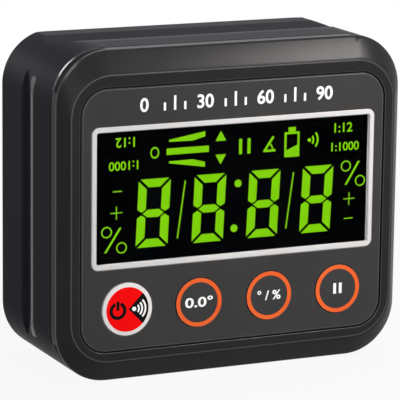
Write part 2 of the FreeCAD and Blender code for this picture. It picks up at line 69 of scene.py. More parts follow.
# The inputs of a node take plain values, or what other nodes give
def feed(tree, node, sources):
    for key, source in sources.items():
        if isinstance(source, bpy.types.NodeSocket):
            tree.links.new(source, node.inputs[key])
        else:
            node.inputs[key].default_value = source


def addNode(tree, kind, sources):
    node = tree.nodes.new("ShaderNode" + kind)
    feed(tree, node, sources)
    return node


def noiseNode(tree, vector, scale, detail):
    return addNode(tree, "TexNoise", {"Vector": vector, "Scale": scale, "Detail": detail}).outputs["Fac"]


def rangeNode(tree, value, fromLow, fromHigh, toLow, toHigh):
    node = addNode(tree, "MapRange", {"Value": value, "From Min": fromLow, "From Max": fromHigh,
                                      "To Min": toLow, "To Max": toHigh})
    return node.outputs["Result"]


def mathNode(tree, operation, *sources):
    node = tree.nodes.new("ShaderNodeMath")
    node.operation = operation
    feed(tree, node, dict(enumerate(sources)))
    return node.outputs[0]


# Two colours blended by a factor
def mixNode(tree, factor, first, second):
    node = tree.nodes.new("ShaderNodeMix")
    node.data_type = "RGBA"
    feed(tree, node, {"Factor": factor, 6: first, 7: second})
    return node.outputs[2]


# Moulded surface: fine grain for the bump, broad drifts for the colour and the gloss
def makeMouldedGroup():
    group, entry, leaving = newGroup(
        "mouldedSurface",
        [("Vector", "Vector", None), ("Grain Scale", "Float", 5000.0), ("Drift Scale", "Float", 90.0),
         ("Colour A", "Color", None), ("Colour B", "Color", None), ("Roughness Low", "Float", 0.4),
         ("Roughness High", "Float", 0.5)],
        [("Colour", "Color"), ("Roughness", "Float"), ("Grain", "Float")])
    grain = noiseNode(group, entry.outputs["Vector"], entry.outputs["Grain Scale"], 2.0)
    drift = noiseNode(group, entry.outputs["Vector"], entry.outputs["Drift Scale"], 3.0)
    spread = rangeNode(group, drift, 0.35, 0.65, 0.0, 1.0)
    colour = mixNode(group, spread, entry.outputs["Colour A"], entry.outputs["Colour B"])
    half = mathNode(group, "MULTIPLY", drift, 0.5)
    blend = mathNode(group, "MULTIPLY_ADD", grain, 0.5, half)
    rough = rangeNode(group, blend, 0.3, 0.7, entry.outputs["Roughness Low"], entry.outputs["Roughness High"])
    feed(group, leaving, {"Colour": colour, "Roughness": rough, "Grain": grain})
    return group


# Mask for a strip at one depth of the case, where the surface lies beyond a reach sideways and up or down.
# The strip gets a gloss coat for a painted highlight.
def makeStripGroup():
    group, entry, leaving = newGroup(
        "highlightStrip",
        [("Vector", "Vector", None), ("Centre", "Float", 0.0), ("Half Width", "Float", 0.001),
         ("Outside", "Float", 0.034), ("Middle", "Float", 0.031), ("Above", "Float", 0.0)],
        [("Mask", "Float")])
    parts = addNode(group, "SeparateXYZ", {"Vector": entry.outputs["Vector"]})
    x, y, z = (parts.outputs[axis] for axis in "XYZ")
    offset = mathNode(group, "ABSOLUTE", mathNode(group, "SUBTRACT", y, entry.outputs["Centre"]))
    near = mathNode(group, "LESS_THAN", offset, entry.outputs["Half Width"])
    outer = mathNode(group, "GREATER_THAN", mathNode(group, "ABSOLUTE", x), entry.outputs["Outside"])
    rise = mathNode(group, "ABSOLUTE", mathNode(group, "SUBTRACT", z, entry.outputs["Middle"]))
    ends = mathNode(group, "GREATER_THAN", rise, entry.outputs["Above"])
    sides = mathNode(group, "MULTIPLY", near, outer)
    feed(group, leaving, {"Mask": mathNode(group, "MULTIPLY", sides, ends)})
    return group


mouldedGroup = makeMouldedGroup()
stripGroup = makeStripGroup()


# Linear colour from the usual 0 to 255 screen values
def shade(red, green, blue):
    def linear(value):
        value = value / 255
        return value / 12.92 if value <= 0.04045 else ((value + 0.055) / 1.055) ** 2.4
    return (linear(red), linear(green), linear(blue), 1.0)


def startMaterial(name):
    material = bpy.data.materials.new(name)
    material.use_nodes = True
    tree = material.node_tree
    shader = tree.nodes["Principled BSDF"]
    coords = tree.nodes.new("ShaderNodeTexCoord")
    return material, tree, shader, coords.outputs["Object"]


# Strips given a gloss coat so that they catch the lamps: a painted highlight, not polish. Each has its depth,
# its half width, its reach sideways and up or down from the middle, and its coat.
def highlightCoatStrips(tree, coords, shader, look):
    total = None
    for centre, halfWidth, outside, above, coat in look["highlightStrips"]:
        strip = tree.nodes.new("ShaderNodeGroup")
        strip.node_tree = stripGroup
        feed(tree, strip, {"Vector": coords, "Centre": centre * mm, "Half Width": halfWidth * mm,
                           "Outside": outside * mm, "Above": above * mm})
        shine = rangeNode(tree, strip.outputs["Mask"], 0.0, 1.0, 0.0, coat)
        total = shine if total is None else mathNode(tree, "ADD", total, shine)
    feed(tree, shader, {"Coat Weight": total, "Coat Roughness": look["coatRoughness"]})


# One finish on the moulded group, from its row in finishLooks
def mouldedFinish(name, look):
    material, tree, shader, coords = startMaterial(name)
    group = tree.nodes.new("ShaderNodeGroup")
    group.node_tree = mouldedGroup
    vector = coords
    if "stretch" in look:
        vector = addNode(tree, "Mapping", {"Vector": coords, "Scale": look["stretch"]}).outputs["Vector"]
    first, second = look["colours"]
    low, high = look["roughness"]
    feed(tree, group, {"Vector": vector, "Colour A": shade(*first), "Colour B": shade(*second),
                       "Roughness Low": low, "Roughness High": high,
                       "Grain Scale": look.get("grainScale", 5000.0),
                       "Drift Scale": look.get("driftScale", 90.0)})
    bump = addNode(tree, "Bump", {"Strength": look["bump"], "Distance": 0.02 * mm,
                                  "Height": group.outputs["Grain"]})
    feed(tree, shader, {"Base Color": group.outputs["Colour"], "Roughness": group.outputs["Roughness"],
                        "Metallic": look.get("metallic", 0.0), "Normal": bump.outputs["Normal"],
                        "Specular IOR Level": look.get("specular", 0.5)})
    if "highlightStrips" in look:
        highlightCoatStrips(tree, coords, shader, look)
    return material


finishLooks = {
    "coverPlastic": {
        "colours": ((31, 31, 32), (34, 34, 35)), "roughness": (0.27, 0.31), "specular": 0.1, "bump": 0.05},
    # rim band: a less glossy copy of the cover plastic, so that the band shows darker, painted shade
    "coverRimShaded": {
        "colours": ((32, 32, 36), (35, 35, 39)), "roughness": (0.27, 0.31), "specular": 0.035, "bump": 0.05},
    # rounded edges of the cover: glossy, and lighter than the cover plastic as a painted highlight along the
    # edges
    "coverEdgeHighlight": {
        "colours": ((46, 46, 48), (50, 50, 52)), "roughness": (0.32, 0.4), "specular": 0.45, "bump": 0.03},
    # rim in the corners: a copy of the rim with almost no gloss, so that the corners show dark, painted shade
    "cornerRimShaded": {
        "colours": ((32, 32, 36), (35, 35, 39)), "roughness": (0.27, 0.31), "specular": 0.003, "bump": 0.05},
    # front edge of the rim: glossy so that it glints under the corner lamp, and lighter than the rim as a
    # painted highlight
    "rimEdge": {
        "colours": ((40, 40, 43), (44, 44, 47)), "roughness": (0.12, 0.16), "specular": 0.6, "bump": 0.02},
    "housingPlastic": {
        "colours": ((38, 38, 44), (41, 41, 47)), "roughness": (0.3, 0.36), "specular": 0.005, "bump": 0.1,
        # painted highlights: a gloss coat on the lip of the side grooves and on the corners beside the seam
        "highlightStrips": [(-0.3, 1.0, 34.3, 0.0, 0.55),  # lip of the side grooves
                 (levels["cover"] + 4.9, 0.18, 25.5, 23.6, 1.0)],  # corners beside the seam
        "coatRoughness": 0.2},
    "panelFilm": {
        "colours": ((56, 56, 56), (59, 59, 59)), "roughness": (0.4, 0.5), "specular": 0.03, "bump": 0.06,
        "grainScale": 9000.0},
    # rounded edge of the panel film: lighter than the film, a painted highlight along the edge
    "panelEdgeHighlight": {
        "colours": ((74, 74, 75), (78, 78, 79)), "roughness": (0.3, 0.4), "specular": 0.1, "bump": 0.03},
    "framePaint": {
        "colours": ((203, 203, 204), (208, 208, 208)), "roughness": (0.35, 0.45), "specular": 0.05,
        "bump": 0.04},
    "displayBlack": {
        "colours": ((0, 0, 1), (2, 2, 3)), "roughness": (0.3, 0.4), "specular": 0.0, "bump": 0.0},
    "guideAcrylic": {
        "colours": ((225, 228, 222), (232, 234, 230)), "roughness": (0.2, 0.3), "bump": 0.02},
    "holderPlastic": {
        "colours": ((214, 214, 208), (222, 222, 216)), "roughness": (0.45, 0.55), "specular": 0.4,
        "bump": 0.08},
    "stripRubber": {
        "colours": ((196, 92, 104), (208, 104, 116)), "roughness": (0.6, 0.7), "specular": 0.3,
        "bump": 0.1, "stretch": (8, 1, 0.3)},
    "boardLaminate": {
        "colours": ((18, 84, 48), (24, 98, 56)), "roughness": (0.3, 0.4), "bump": 0.1, "driftScale": 700.0},
    "chipResin": {
        "colours": ((24, 24, 26), (30, 30, 32)), "roughness": (0.5, 0.62), "specular": 0.4, "bump": 0.2},
    "buzzerShell": {
        "colours": ((28, 28, 28), (34, 34, 34)), "roughness": (0.35, 0.45), "bump": 0.1},
    "switchPlastic": {
        "colours": ((30, 30, 32), (36, 36, 38)), "roughness": (0.4, 0.5), "bump": 0.1},
    "plungerPlastic": {
        "colours": ((188, 188, 182), (196, 196, 190)), "roughness": (0.4, 0.5), "bump": 0.08},
    "contactMetal": {
        "colours": ((196, 194, 188), (206, 204, 198)), "roughness": (0.22, 0.36), "metallic": 1.0,
        "bump": 0.08, "stretch": (1, 0.1, 1)},
    "screwSteel": {
        "colours": ((150, 150, 154), (166, 166, 170)), "roughness": (0.3, 0.42), "metallic": 1.0,
        "bump": 0.1},
    "magnetPlating": {
        "colours": ((176, 176, 178), (188, 188, 190)), "roughness": (0.2, 0.34), "metallic": 1.0,
        "bump": 0.06, "grainScale": 2600.0},
    "cellWrap": {
        "colours": ((46, 48, 52), (52, 54, 58)), "roughness": (0.28, 0.36), "bump": 0.05},
    "cellBand": {
        "colours": ((176, 178, 180), (184, 186, 188)), "roughness": (0.26, 0.34), "bump": 0.04},
    "keyPlastic": {
        "colours": ((52, 52, 53), (55, 55, 56)), "roughness": (0.48, 0.58), "specular": 0.1, "bump": 0.06,
        "grainScale": 9000.0},
    "keyRim": {
        "colours": ((216, 214, 214), (222, 220, 220)), "roughness": (0.4, 0.5), "specular": 0.3,
        "bump": 0.04},
    "redPrint": {
        "colours": ((236, 7, 9), (240, 10, 12)), "roughness": (0.45, 0.55), "specular": 0.04, "bump": 0.03},
    "orangePrint": {
        "colours": ((224, 92, 40), (228, 100, 46)), "roughness": (0.45, 0.55), "specular": 0.1, "bump": 0.03},
    "whitePrint": {
        "colours": ((244, 244, 244), (250, 250, 250)), "roughness": (0.45, 0.55), "specular": 0.1,
        "bump": 0.03},
    "blackPrint": {
        "colours": ((6, 5, 5), (10, 8, 8)), "roughness": (0.5, 0.6), "specular": 0.05, "bump": 0.03},
}
finishes = {name: mouldedFinish(name, look) for name, look in finishLooks.items()}
print("finishes made:", len(finishes))


# Lit signs: the colour drifts a little over the display, and the sign shines by itself
signLook = {"colours": (shade(123, 203, 8), shade(131, 210, 17)), "drift": 120.0, "glow": 1.0}


def makeSignGlow():
    material, tree, shader, coords = startMaterial("signGlow")
    drift = noiseNode(tree, coords, signLook["drift"], 2.0)
    colour = mixNode(tree, drift, *signLook["colours"])
    feed(tree, shader, {"Emission Color": colour, "Emission Strength": signLook["glow"],
                        "Base Color": (0, 0, 0, 1), "Specular IOR Level": 0.0})
    return material


glassLook = {"colours": ((0.97, 0.98, 0.98, 1), (1, 1, 1, 1)), "drift": 60.0, "bend": 1.04}


# Clear pane: almost no reflection, so that the display stays black
def makePaneGlass():
    material, tree, shader, coords = startMaterial("paneGlass")
    tint = mixNode(tree, noiseNode(tree, coords, glassLook["drift"], 2.0), *glassLook["colours"])
    feed(tree, shader, {"Transmission Weight": 1.0, "IOR": glassLook["bend"], "Roughness": 0.0,
                        "Base Color": tint})
    return material


finishes["signGlow"] = makeSignGlow()
finishes["paneGlass"] = makePaneGlass()

nodeFinishes = {
    "coverPlastic": ["front_cover"],
    "housingPlastic": ["rear_housing", "battery_door"],
    "panelFilm": ["overlay_panel"],
    "framePaint": ["display_frame"],
    "paneGlass": ["display_window"],
    "displayBlack": ["lcd_glass"],
    "guideAcrylic": ["backlight_block"],
    "holderPlastic": ["display_holder"],
    "stripRubber": ["contact_strips"],
    "boardLaminate": ["circuit_board"],
    "chipResin": ["tilt_sensor", "controller_chip"],
    "buzzerShell": ["buzzer"],
    "switchPlastic": ["key_switches"],
    "plungerPlastic": ["power_plunger", "zero_plunger", "mode_plunger", "hold_plunger"],
    "keyPlastic": ["power_key", "zero_key", "mode_key", "hold_key"],
    "cellWrap": ["upper_cell", "lower_cell"],
    "contactMetal": ["link_contact", "end_contacts", "contact_springs"],
    "screwSteel": ["case_screws", "board_screws"],
    "magnetPlating": ["base_magnets"],
}
for finish, names in nodeFinishes.items():
    for name in names:
        node = nodes[name]
        if not node.data.materials:
            node.data.materials.append(finishes[finish])
        for slot in node.material_slots:
            slot.material = finishes[finish]
print("case nodes finished")


# Box of a node in millimetres: its low corner, high corner and middle
def boxOf(node):
    low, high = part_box(node)
    return low / mm, high / mm, (low + high) / 2 / mm


def objectFrom(mesh, name, materials):
    data = bpy.data.meshes.new(name)
    mesh.to_mesh(data)
    mesh.free()
    for material in materials:
        data.materials.append(material)
    made = bpy.data.objects.new(name, data)
    scene.collection.objects.link(made)
    return made


# A piece at the origin, riding on its body. Its faces have the first finish unless they say more.
def placePiece(mesh, name, finishNames, body, smooth):
    piece = objectFrom(mesh, name, [finishes[finish] for finish in finishNames])
    for face in piece.data.polygons:
        face.use_smooth = smooth
    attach(piece, body)
    return piece


def pieceFrom(mesh, name, finish, body, smooth=False):
    bmesh.ops.recalc_face_normals(mesh, faces=mesh.faces)
    return placePiece(mesh, name, [finish], body, smooth)


sharpFrom = math.radians(38)


# Flats stay flat, and small roundings are smooth
def markSharp(mesh):
    for edge in mesh.edges:
        edge.smooth = len(edge.link_faces) == 2 and edge.calc_face_angle() < sharpFrom


def keepFlats(piece):
    weights = piece.modifiers.new("flats", "WEIGHTED_NORMAL")
    weights.mode = "FACE_AREA"
    weights.keep_sharp = True
    return piece


def shadedPiece(mesh, name, finish, body):
    markSharp(mesh)
    return keepFlats(pieceFrom(mesh, name, finish, body, smooth=True))


# Rounds edges, and gives the new faces
def roundEdges(mesh, edges, size, segments):
    return bmesh.ops.bevel(mesh, geom=edges, offset=size * mm, affect="EDGES", segments=segments,
                           profile=0.5, material=-1)["faces"]


def onLevel(edge, level):
    return all(abs(vert.co.y - level * mm) < 1e-7 for vert in edge.verts)


# Mesh of a curve or of words, whose own object is taken away
def meshFromCurve(curve):
    holder = bpy.data.objects.new(curve.name, curve)
    scene.collection.objects.link(holder)
    bpy.context.view_layer.update()
    shape = bpy.data.meshes.new_from_object(holder.evaluated_get(bpy.context.evaluated_depsgraph_get()))
    bpy.data.objects.remove(holder)
    bpy.data.curves.remove(curve)
    return shape


# Flat plate from its corners, given as x and z, between two levels
def plate(mesh, corners, front, back):
    verts = [mesh.verts.new((x * mm, back * mm, z * mm)) for x, z in corners]
    face = mesh.faces.new(verts)
    grown = bmesh.ops.extrude_face_region(mesh, geom=[face], use_keep_orig=True)
    raised = [item for item in grown["geom"] if isinstance(item, bmesh.types.BMVert)]
    bmesh.ops.translate(mesh, verts=raised, vec=(0, (front - back) * mm, 0))


def stroke(mesh, start, end, width, front, back):
    begin, finish = Vector(start), Vector(end)
    run = finish - begin
    side = Vector((-run.y, run.x)).normalized() * width / 2
    plate(mesh, [begin - side, finish - side, finish + side, begin + side], front, back)


def disc(mesh, centre, radius, front, back, steps):
    middle = Vector((centre[0], (front + back) / 2, centre[1])) * mm
    turn = Matrix.Translation(middle) @ Matrix.Rotation(math.pi / 2, 4, "X")
    bmesh.ops.create_cone(mesh, cap_ends=True, segments=steps, radius1=radius * mm, radius2=radius * mm,
                          depth=abs(back - front) * mm, matrix=turn)


# Band round a centre. Angles are in degrees from the right, turning up.
def band(mesh, centre, radius, width, front, back, start=0.0, sweep=360.0, steps=72):
    pivot = Vector((centre[0], 0, centre[1])) * mm
    turn = Matrix.Rotation(-math.radians(start), 3, "Y")
    corners = []
    for reach, level in ((-0.5, back), (0.5, back), (0.5, front), (-0.5, front)):
        flat = turn @ Vector(((radius + reach * width) * mm, 0, 0))
        corners.append(mesh.verts.new(pivot + flat + Vector((0, level * mm, 0))))
    face = mesh.faces.new(corners)
    full = sweep == 360.0
    geom = list(face.edges) if full else [face]
    if full:
        mesh.faces.remove(face)
    before = set(mesh.verts)
    bmesh.ops.spin(mesh, geom=geom, cent=pivot, axis=(0, 1, 0), angle=-math.radians(sweep), steps=steps,
                   use_merge=full)
    return corners + [vert for vert in mesh.verts if vert not in before]


def stretch(mesh, verts, centre, scaleX, scaleZ):
    pivot = Vector((centre[0], 0, centre[1])) * mm
    bmesh.ops.scale(mesh, vec=(scaleX, 1, scaleZ), space=Matrix.Translation(-pivot), verts=verts)


# Numbers and signs from the built-in letter shapes, fitted to a height and set on a level
def numbers(mesh, words, height, x, z, front, back, weight, turned=0.0, wide=1.0):
    curve = bpy.data.curves.new("numbers", "FONT")
    curve.body = words
    curve.offset = weight
    curve.extrude = 0.5
    shapes = meshFromCurve(curve)
    reach = [vert.co.x for vert in shapes.vertices]
    capHeight = 0.729 + 2 * weight  # the built-in letters are 0.729 of their size tall
    scale = height * mm / capHeight
    middle = (min(reach) + max(reach)) / 2
    depth = abs(back - front) * mm
    move = Matrix.Translation(Vector((x, (front + back) / 2, z)) * mm)
    turn = Matrix.Rotation(-math.radians(turned), 4, "Y") @ Matrix.Rotation(math.pi / 2, 4, "X")
    size = Matrix.Diagonal((scale * wide, scale, depth, 1))
    home = Matrix.Translation((-middle, -(capHeight / 2 - weight), 0))
    shapes.transform(move @ turn @ size @ home)
    mesh.from_mesh(shapes)
    bpy.data.meshes.remove(shapes)


# Copy of a case node with its doubles merged, its outer sharp edges rounded and its flats kept flat.
# The finishes are, in order: surface, rounded edges (lighter, a painted highlight), rim (darker, painted
# shade), edge of the rim (lighter, a painted highlight), rim in the corners (darker still, painted shade).
def softEdged(node, name, look, pick):
    mesh = bmesh.new()
    mesh.from_mesh(nodes[node].data)
    bmesh.ops.remove_doubles(mesh, verts=mesh.verts, dist=1e-6)
    bmesh.ops.dissolve_limit(mesh, angle_limit=math.radians(0.3), verts=mesh.verts, edges=mesh.edges)
    sharp = []
    for edge in mesh.edges:
        turn = math.degrees(edge.calc_face_angle(0))
        if turn > look["angle"] and all(pick(vert.co / mm, turn) for vert in edge.verts):
            sharp.append(edge)
    rounded = roundEdges(mesh, sharp, look["edge"], look["segments"])
    # the rounded edges take the lighter finish: painted highlight
    for face in rounded:
        face.material_index = 1
    if "rim" in look:
        finishRim(mesh, rounded, look)
    markSharp(mesh)
    piece = keepFlats(placePiece(mesh, name, look["finishes"], "root", True))
    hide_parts(node)


# The rim lies behind the cover's bevel. Its front edge has a lighter finish of its own, a painted highlight,
# and its corners a darker one, painted shade.
def finishRim(mesh, rounded, look):
    near, far = (levels["cover"] + depth for depth in look["rim"])
    for face in rounded:
        if abs(face.calc_center_median().y / mm - near) < look["rimEdge"]:
            face.material_index = 3
    for face in mesh.faces:
        spots = [vert.co / mm for vert in face.verts]
        onRim = all(near < spot.y < far and nearOutside(spot, 0.05) for spot in spots)
        if face.material_index == 0 and onRim:
            middle = face.calc_center_median() / mm
            across = abs(middle.x) - shellLook["halfWidth"]
            along = abs(middle.z - shellLook["middle"]) - shellLook["halfHeight"]
            inCorner = across > look["cornerStart"][0] and along > look["cornerStart"][1]
            face.material_index = 4 if inCorner else 2


# True near the rounded outside of the case, seen from the front
def nearOutside(spot, depth):
    across = max(abs(spot.x) - shellLook["halfWidth"], 0)
    along = max(abs(spot.z - shellLook["middle"]) - shellLook["halfHeight"], 0)
    return Vector((across, along)).length > shellLook["corner"] - depth


# Edges of the cover are rounded where they turn more than the steep angle. Slighter ones, down to the angle,
# are rounded only on the soft rows.
shellLook = {"halfWidth": 25.0, "halfHeight": 21.0, "middle": 31.0, "corner": 10.0}
coverLook = {"angle": 11, "steep": 30, "softRows": (0.0, 2.3), "depth": 7.0, "edge": 0.11, "segments": 3,
             "rim": (2.3, 4.45), "rimEdge": 0.25, "cornerStart": (0.3, 2.1),
             "finishes": ["coverPlastic", "coverEdgeHighlight", "coverRimShaded", "rimEdge", "cornerRimShaded"]}
panelLook = {"angle": 28, "edge": 0.12, "segments": 3, "depth": 0.3, "finishes": ["panelFilm", "panelEdgeHighlight"]}


def buildShells():
    rows = [levels["cover"] + row for row in coverLook["softRows"]]

    def onCover(spot, turn):
        outside = nearOutside(spot, coverLook["depth"]) and spot.y < levels["coverBack"]
        return outside and (turn > coverLook["steep"] or any(abs(spot.y - row) < 0.05 for row in rows))

    def onPanel(spot, turn):
        return spot.y < levels["face"] + panelLook["depth"]

    softEdged("front_cover", "cover_shell", coverLook, onCover)
    softEdged("overlay_panel", "panel_sheet", panelLook, onPanel)


buildShells()
print("shells softened")


# Turned piece: a profile of reach and distance along an axis, spun a full turn
def turnedRing(mesh, profile, base, along, steps=48):
    axis = Vector(along)
    side = axis.orthogonal().normalized()
    verts = [mesh.verts.new((Vector(base) + axis * far + side * reach) * mm) for reach, far in profile]
    edges = [mesh.edges.new(pair) for pair in zip(verts, verts[1:])]
    before = set(mesh.verts)
    bmesh.ops.spin(mesh, geom=edges, cent=Vector(base) * mm, axis=axis, angle=2 * math.pi, steps=steps,
                   use_merge=True)
    made = verts + [vert for vert in mesh.verts if vert not in before]
    bmesh.ops.remove_doubles(mesh, verts=made, dist=1e-7)


cellLook = {"edge": 0.35, "wrapStart": 0.5, "wrapEnd": 0.9, "lip": 0.12, "ringWidth": 3.0, "nub": 1.9,
            "nubLong": 0.8, "signSize": 2.2, "minusAt": 5.0, "plusAt": 6.5}


# Cell with a steel can, a printed wrap and a pole sign at each end, its nub towards the given side
def buildCell(name, side):
    low, high, centre = boxOf(name)
    radius, long = (high.z - low.z) / 2, high.x - low.x
    base = (low.x if side > 0 else high.x, centre.y, centre.z)
    along = (side, 0, 0)
    nub, edge = cellLook["nub"], cellLook["edge"]
    shoulder = long - cellLook["nubLong"]
    steel = radius - cellLook["lip"]
    can = bmesh.new()
    turnedRing(can, [
        (0, 0), (3.0, 0), (3.2, 0.15), (3.6, 0.15), (3.8, 0), (steel - edge, 0), (steel - 0.1, 0.1),
        (steel, edge), (steel, shoulder - edge), (steel - 0.1, shoulder - 0.1), (steel - edge, shoulder),
        (3.4, shoulder), (3.2, shoulder - 0.15), (nub + 0.5, shoulder - 0.15), (nub + 0.1, shoulder),
        (nub, shoulder + 0.1), (nub, long - 0.25), (nub - 0.07, long - 0.07), (nub - 0.25, long), (0, long),
    ], base, along)
    piece = shadedPiece(can, name + "_can", "contactMetal", "root")
    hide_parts(name)
    wrap = bmesh.new()
    start, end = cellLook["wrapStart"], shoulder - cellLook["wrapEnd"]
    turnedRing(wrap, [
        (steel - 0.02, start), (radius - 0.03, start + 0.03), (radius, start + 0.1),
        (radius, end - 0.1), (radius - 0.03, end - 0.03), (steel - 0.02, end),
    ], base, along)
    shadedPiece(wrap, name + "_wrap", "cellWrap", "root")
    ring = bmesh.new()
    far = end - cellLook["ringWidth"]
    turnedRing(ring, [
        (radius - 0.02, far), (radius + 0.01, far), (radius + 0.01, end - 0.15), (radius - 0.02, end - 0.15),
    ], base, along)
    shadedPiece(ring, name + "_ring", "cellBand", "root")
    # signs from bars, as shares of the sign's size: wide, tall and up
    signs = bmesh.new()
    minus = [(1.0, 0.3, 0.0)]
    plus = minus + [(0.3, 0.35, 0.325), (0.3, 0.35, -0.325)]
    size = cellLook["signSize"]
    for far, bars in ((cellLook["minusAt"], minus), (end - cellLook["plusAt"], plus)):
        middle = Vector(base) + Vector(along) * far
        for wide, tall, up in bars:
            made = bmesh.ops.create_cube(signs, size=1.0)["verts"]
            bmesh.ops.scale(signs, vec=Vector((wide * size, 0.12, tall * size)) * mm, verts=made)
            bmesh.ops.translate(signs, vec=(middle + Vector((0, radius - 0.01, up * size))) * mm, verts=made)
    pieceFrom(signs, name + "_signs", "whitePrint", "root")


buildCell("upper_cell", 1)
buildCell("lower_cell", -1)


springLook = {"turns": 5.5, "points": 12, "wire": 0.25, "base": 3.4, "tip": 2.1, "flatShare": 0.12,
              "play": 0.05}


# Tapered coil with a round wire along X, from one depth to another. Its end turns lie flat.
def coilMesh(centre, start, end):
    curve = bpy.data.curves.new("coil", "CURVE")
    curve.dimensions = "3D"
    curve.bevel_depth = springLook["wire"] * mm
    curve.bevel_resolution = 3
    curve.use_fill_caps = True
    last = int(springLook["turns"] * springLook["points"])
    flat, base = springLook["flatShare"], springLook["base"]
    line = curve.splines.new("NURBS")
    line.points.add(last)
    for index in range(last + 1):
        share = index / last
        climb = min(max((share - flat) / (1 - 2 * flat), 0), 1)
        reach = base + (springLook["tip"] - base) * share
        angle = 2 * math.pi * index / springLook["points"]
        spot = Vector((start + (end - start) * climb, centre.y + reach * math.cos(angle),
                       centre.z + reach * math.sin(angle))) * mm
        line.points[index].co = (*spot, 1)
    line.order_u = 4
    line.use_endpoint_u = True
    line.resolution_u = 3
    return meshFromCurve(curve)


def buildSprings():
    mesh = bmesh.new()
    contact = boxOf("link_contact")[1].x
    wire = springLook["wire"]
    for name, side in (("upper_cell", -1), ("lower_cell", 1)):
        low, high, centre = boxOf(name)
        pole = low.x if side < 0 else -high.x
        start, end = contact + wire, pole - wire - springLook["play"]
        shape = coilMesh(centre, -side * start, -side * end)
        mesh.from_mesh(shape)
        bpy.data.meshes.remove(shape)
    springs = pieceFrom(mesh, "coil_springs", "contactMetal", "root", smooth=True)
    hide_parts("contact_springs")


buildSprings()
print("cells and springs built")


caseScrewLook = {"head": 2.3, "headHeight": 1.6, "shank": 0.8, "thread": 1.1, "long": 10.0, "pitch": 0.8,
                 "recess": 1.35, "arm": 0.34, "depth": 0.8}
boardScrewLook = {"head": 1.6, "headHeight": 1.0, "shank": 0.58, "thread": 0.8, "long": 4.2, "pitch": 0.6,
                  "recess": 0.95, "arm": 0.24, "depth": 0.5}


# Pan-head screw that points towards the face, with a cross recess and a cut thread
def addScrew(mesh, x, z, seat, look):
    head, shank, recess, arm = look["head"], look["shank"], look["recess"], look["arm"]
    top, tip = seat + look["headHeight"], seat - look["long"]
    start = tip + 0.9
    before = set(mesh.verts)
    turnedRing(mesh, [
        (head - 0.55, top), (head - 0.2, top - 0.15), (head - 0.04, top - 0.42), (head, top - 0.75),
        (head, seat + 0.1), (head - 0.1, seat), (shank, seat), (shank, start), (0.0, tip),
    ], (x, 0, z), (0, 1, 0), steps=24)
    rim = [edge for edge in mesh.edges if edge.verts[0] not in before and onLevel(edge, top)]
    elbow = (recess + arm) / 2
    quarter = [(recess, -arm), (recess, 0), (recess, arm), (elbow, arm), (arm, arm), (arm, elbow)]
    cross = []
    for turn in range(4):
        spin = Matrix.Rotation(math.pi / 2 * turn, 2)
        for spot in quarter:
            flat = spin @ Vector(spot)
            cross.append(mesh.verts.new(Vector((x + flat.x, top, z + flat.y)) * mm))
    loop = [mesh.edges.new(pair) for pair in zip(cross, cross[1:] + cross[:1])]
    bmesh.ops.bridge_loops(mesh, edges=rim + loop)
    sunk = bmesh.ops.extrude_edge_only(mesh, edges=loop)["geom"]
    low = [item for item in sunk if isinstance(item, bmesh.types.BMVert)]
    bmesh.ops.translate(mesh, vec=(0, -look["depth"] * mm, 0), verts=low)
    stretch(mesh, low, (x, z), 0.66, 0.66)  # the recess narrows towards its floor
    bmesh.ops.contextual_create(mesh, geom=[item for item in sunk if isinstance(item, bmesh.types.BMEdge)])
    # thread: a small ridge wound round the shank
    pitch, root = look["pitch"], shank - 0.03
    turns = int((look["long"] - 1.6) / pitch)
    outline = [(root, start), (look["thread"], start + pitch * 0.28), (root, start + pitch * 0.56)]
    ridge = [mesh.verts.new(Vector((x + reach, level, z)) * mm) for reach, level in outline]
    bmesh.ops.spin(mesh, geom=[mesh.faces.new(ridge)], cent=Vector((x, 0, z)) * mm, axis=(0, 1, 0),
                   dvec=(0, pitch * mm / 16, 0), angle=2 * math.pi * turns, steps=16 * turns)


# Screws in the places of a case node's solids
def buildScrews(node, name, look):
    seat = boxOf(node)[1].y - look["headHeight"]
    groups = []
    for vert in nodes[node].data.vertices:
        flat = Vector((vert.co.x, vert.co.z)) / mm
        near = [group for group in groups if (group[0] - flat).length < 3 * look["head"]]
        if near:
            near[0].append(flat)
        else:
            groups.append([flat])
    mesh = bmesh.new()
    for group in groups:
        across, up = ([spot[axis] for spot in group] for axis in (0, 1))
        addScrew(mesh, (min(across) + max(across)) / 2, (min(up) + max(up)) / 2, seat, look)
    screws = shadedPiece(mesh, name, "screwSteel", "root")
    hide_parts(node)


buildScrews("case_screws", "cross_screws", caseScrewLook)
buildScrews("board_screws", "board_cross_screws", boardScrewLook)


magnetLook = {"edge": 0.3}


# Plated disc magnets with rounded rims
def buildMagnets():
    low, high, centre = boxOf("base_magnets")
    radius, tall = (high.y - low.y) / 2, high.z - low.z
    edge = magnetLook["edge"]
    soft = 0.3 * edge
    profile = [(0, 0), (radius - edge, 0), (radius - soft, soft), (radius, edge), (radius, tall - edge),
               (radius - soft, tall - soft), (radius - edge, tall), (0, tall)]
    mesh = bmesh.new()
    for x in (low.x + radius, centre.x, high.x - radius):
        turnedRing(mesh, profile, (x, centre.y, low.z), (0, 0, 1))
    magnets = shadedPiece(mesh, "disc_magnets", "magnetPlating", "root")
    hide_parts("base_magnets")


buildMagnets()


buzzerLook = {"edge": 0.4, "hole": 1.0, "holeDepth": 1.0, "lip": 0.35, "dishDepth": 0.2}


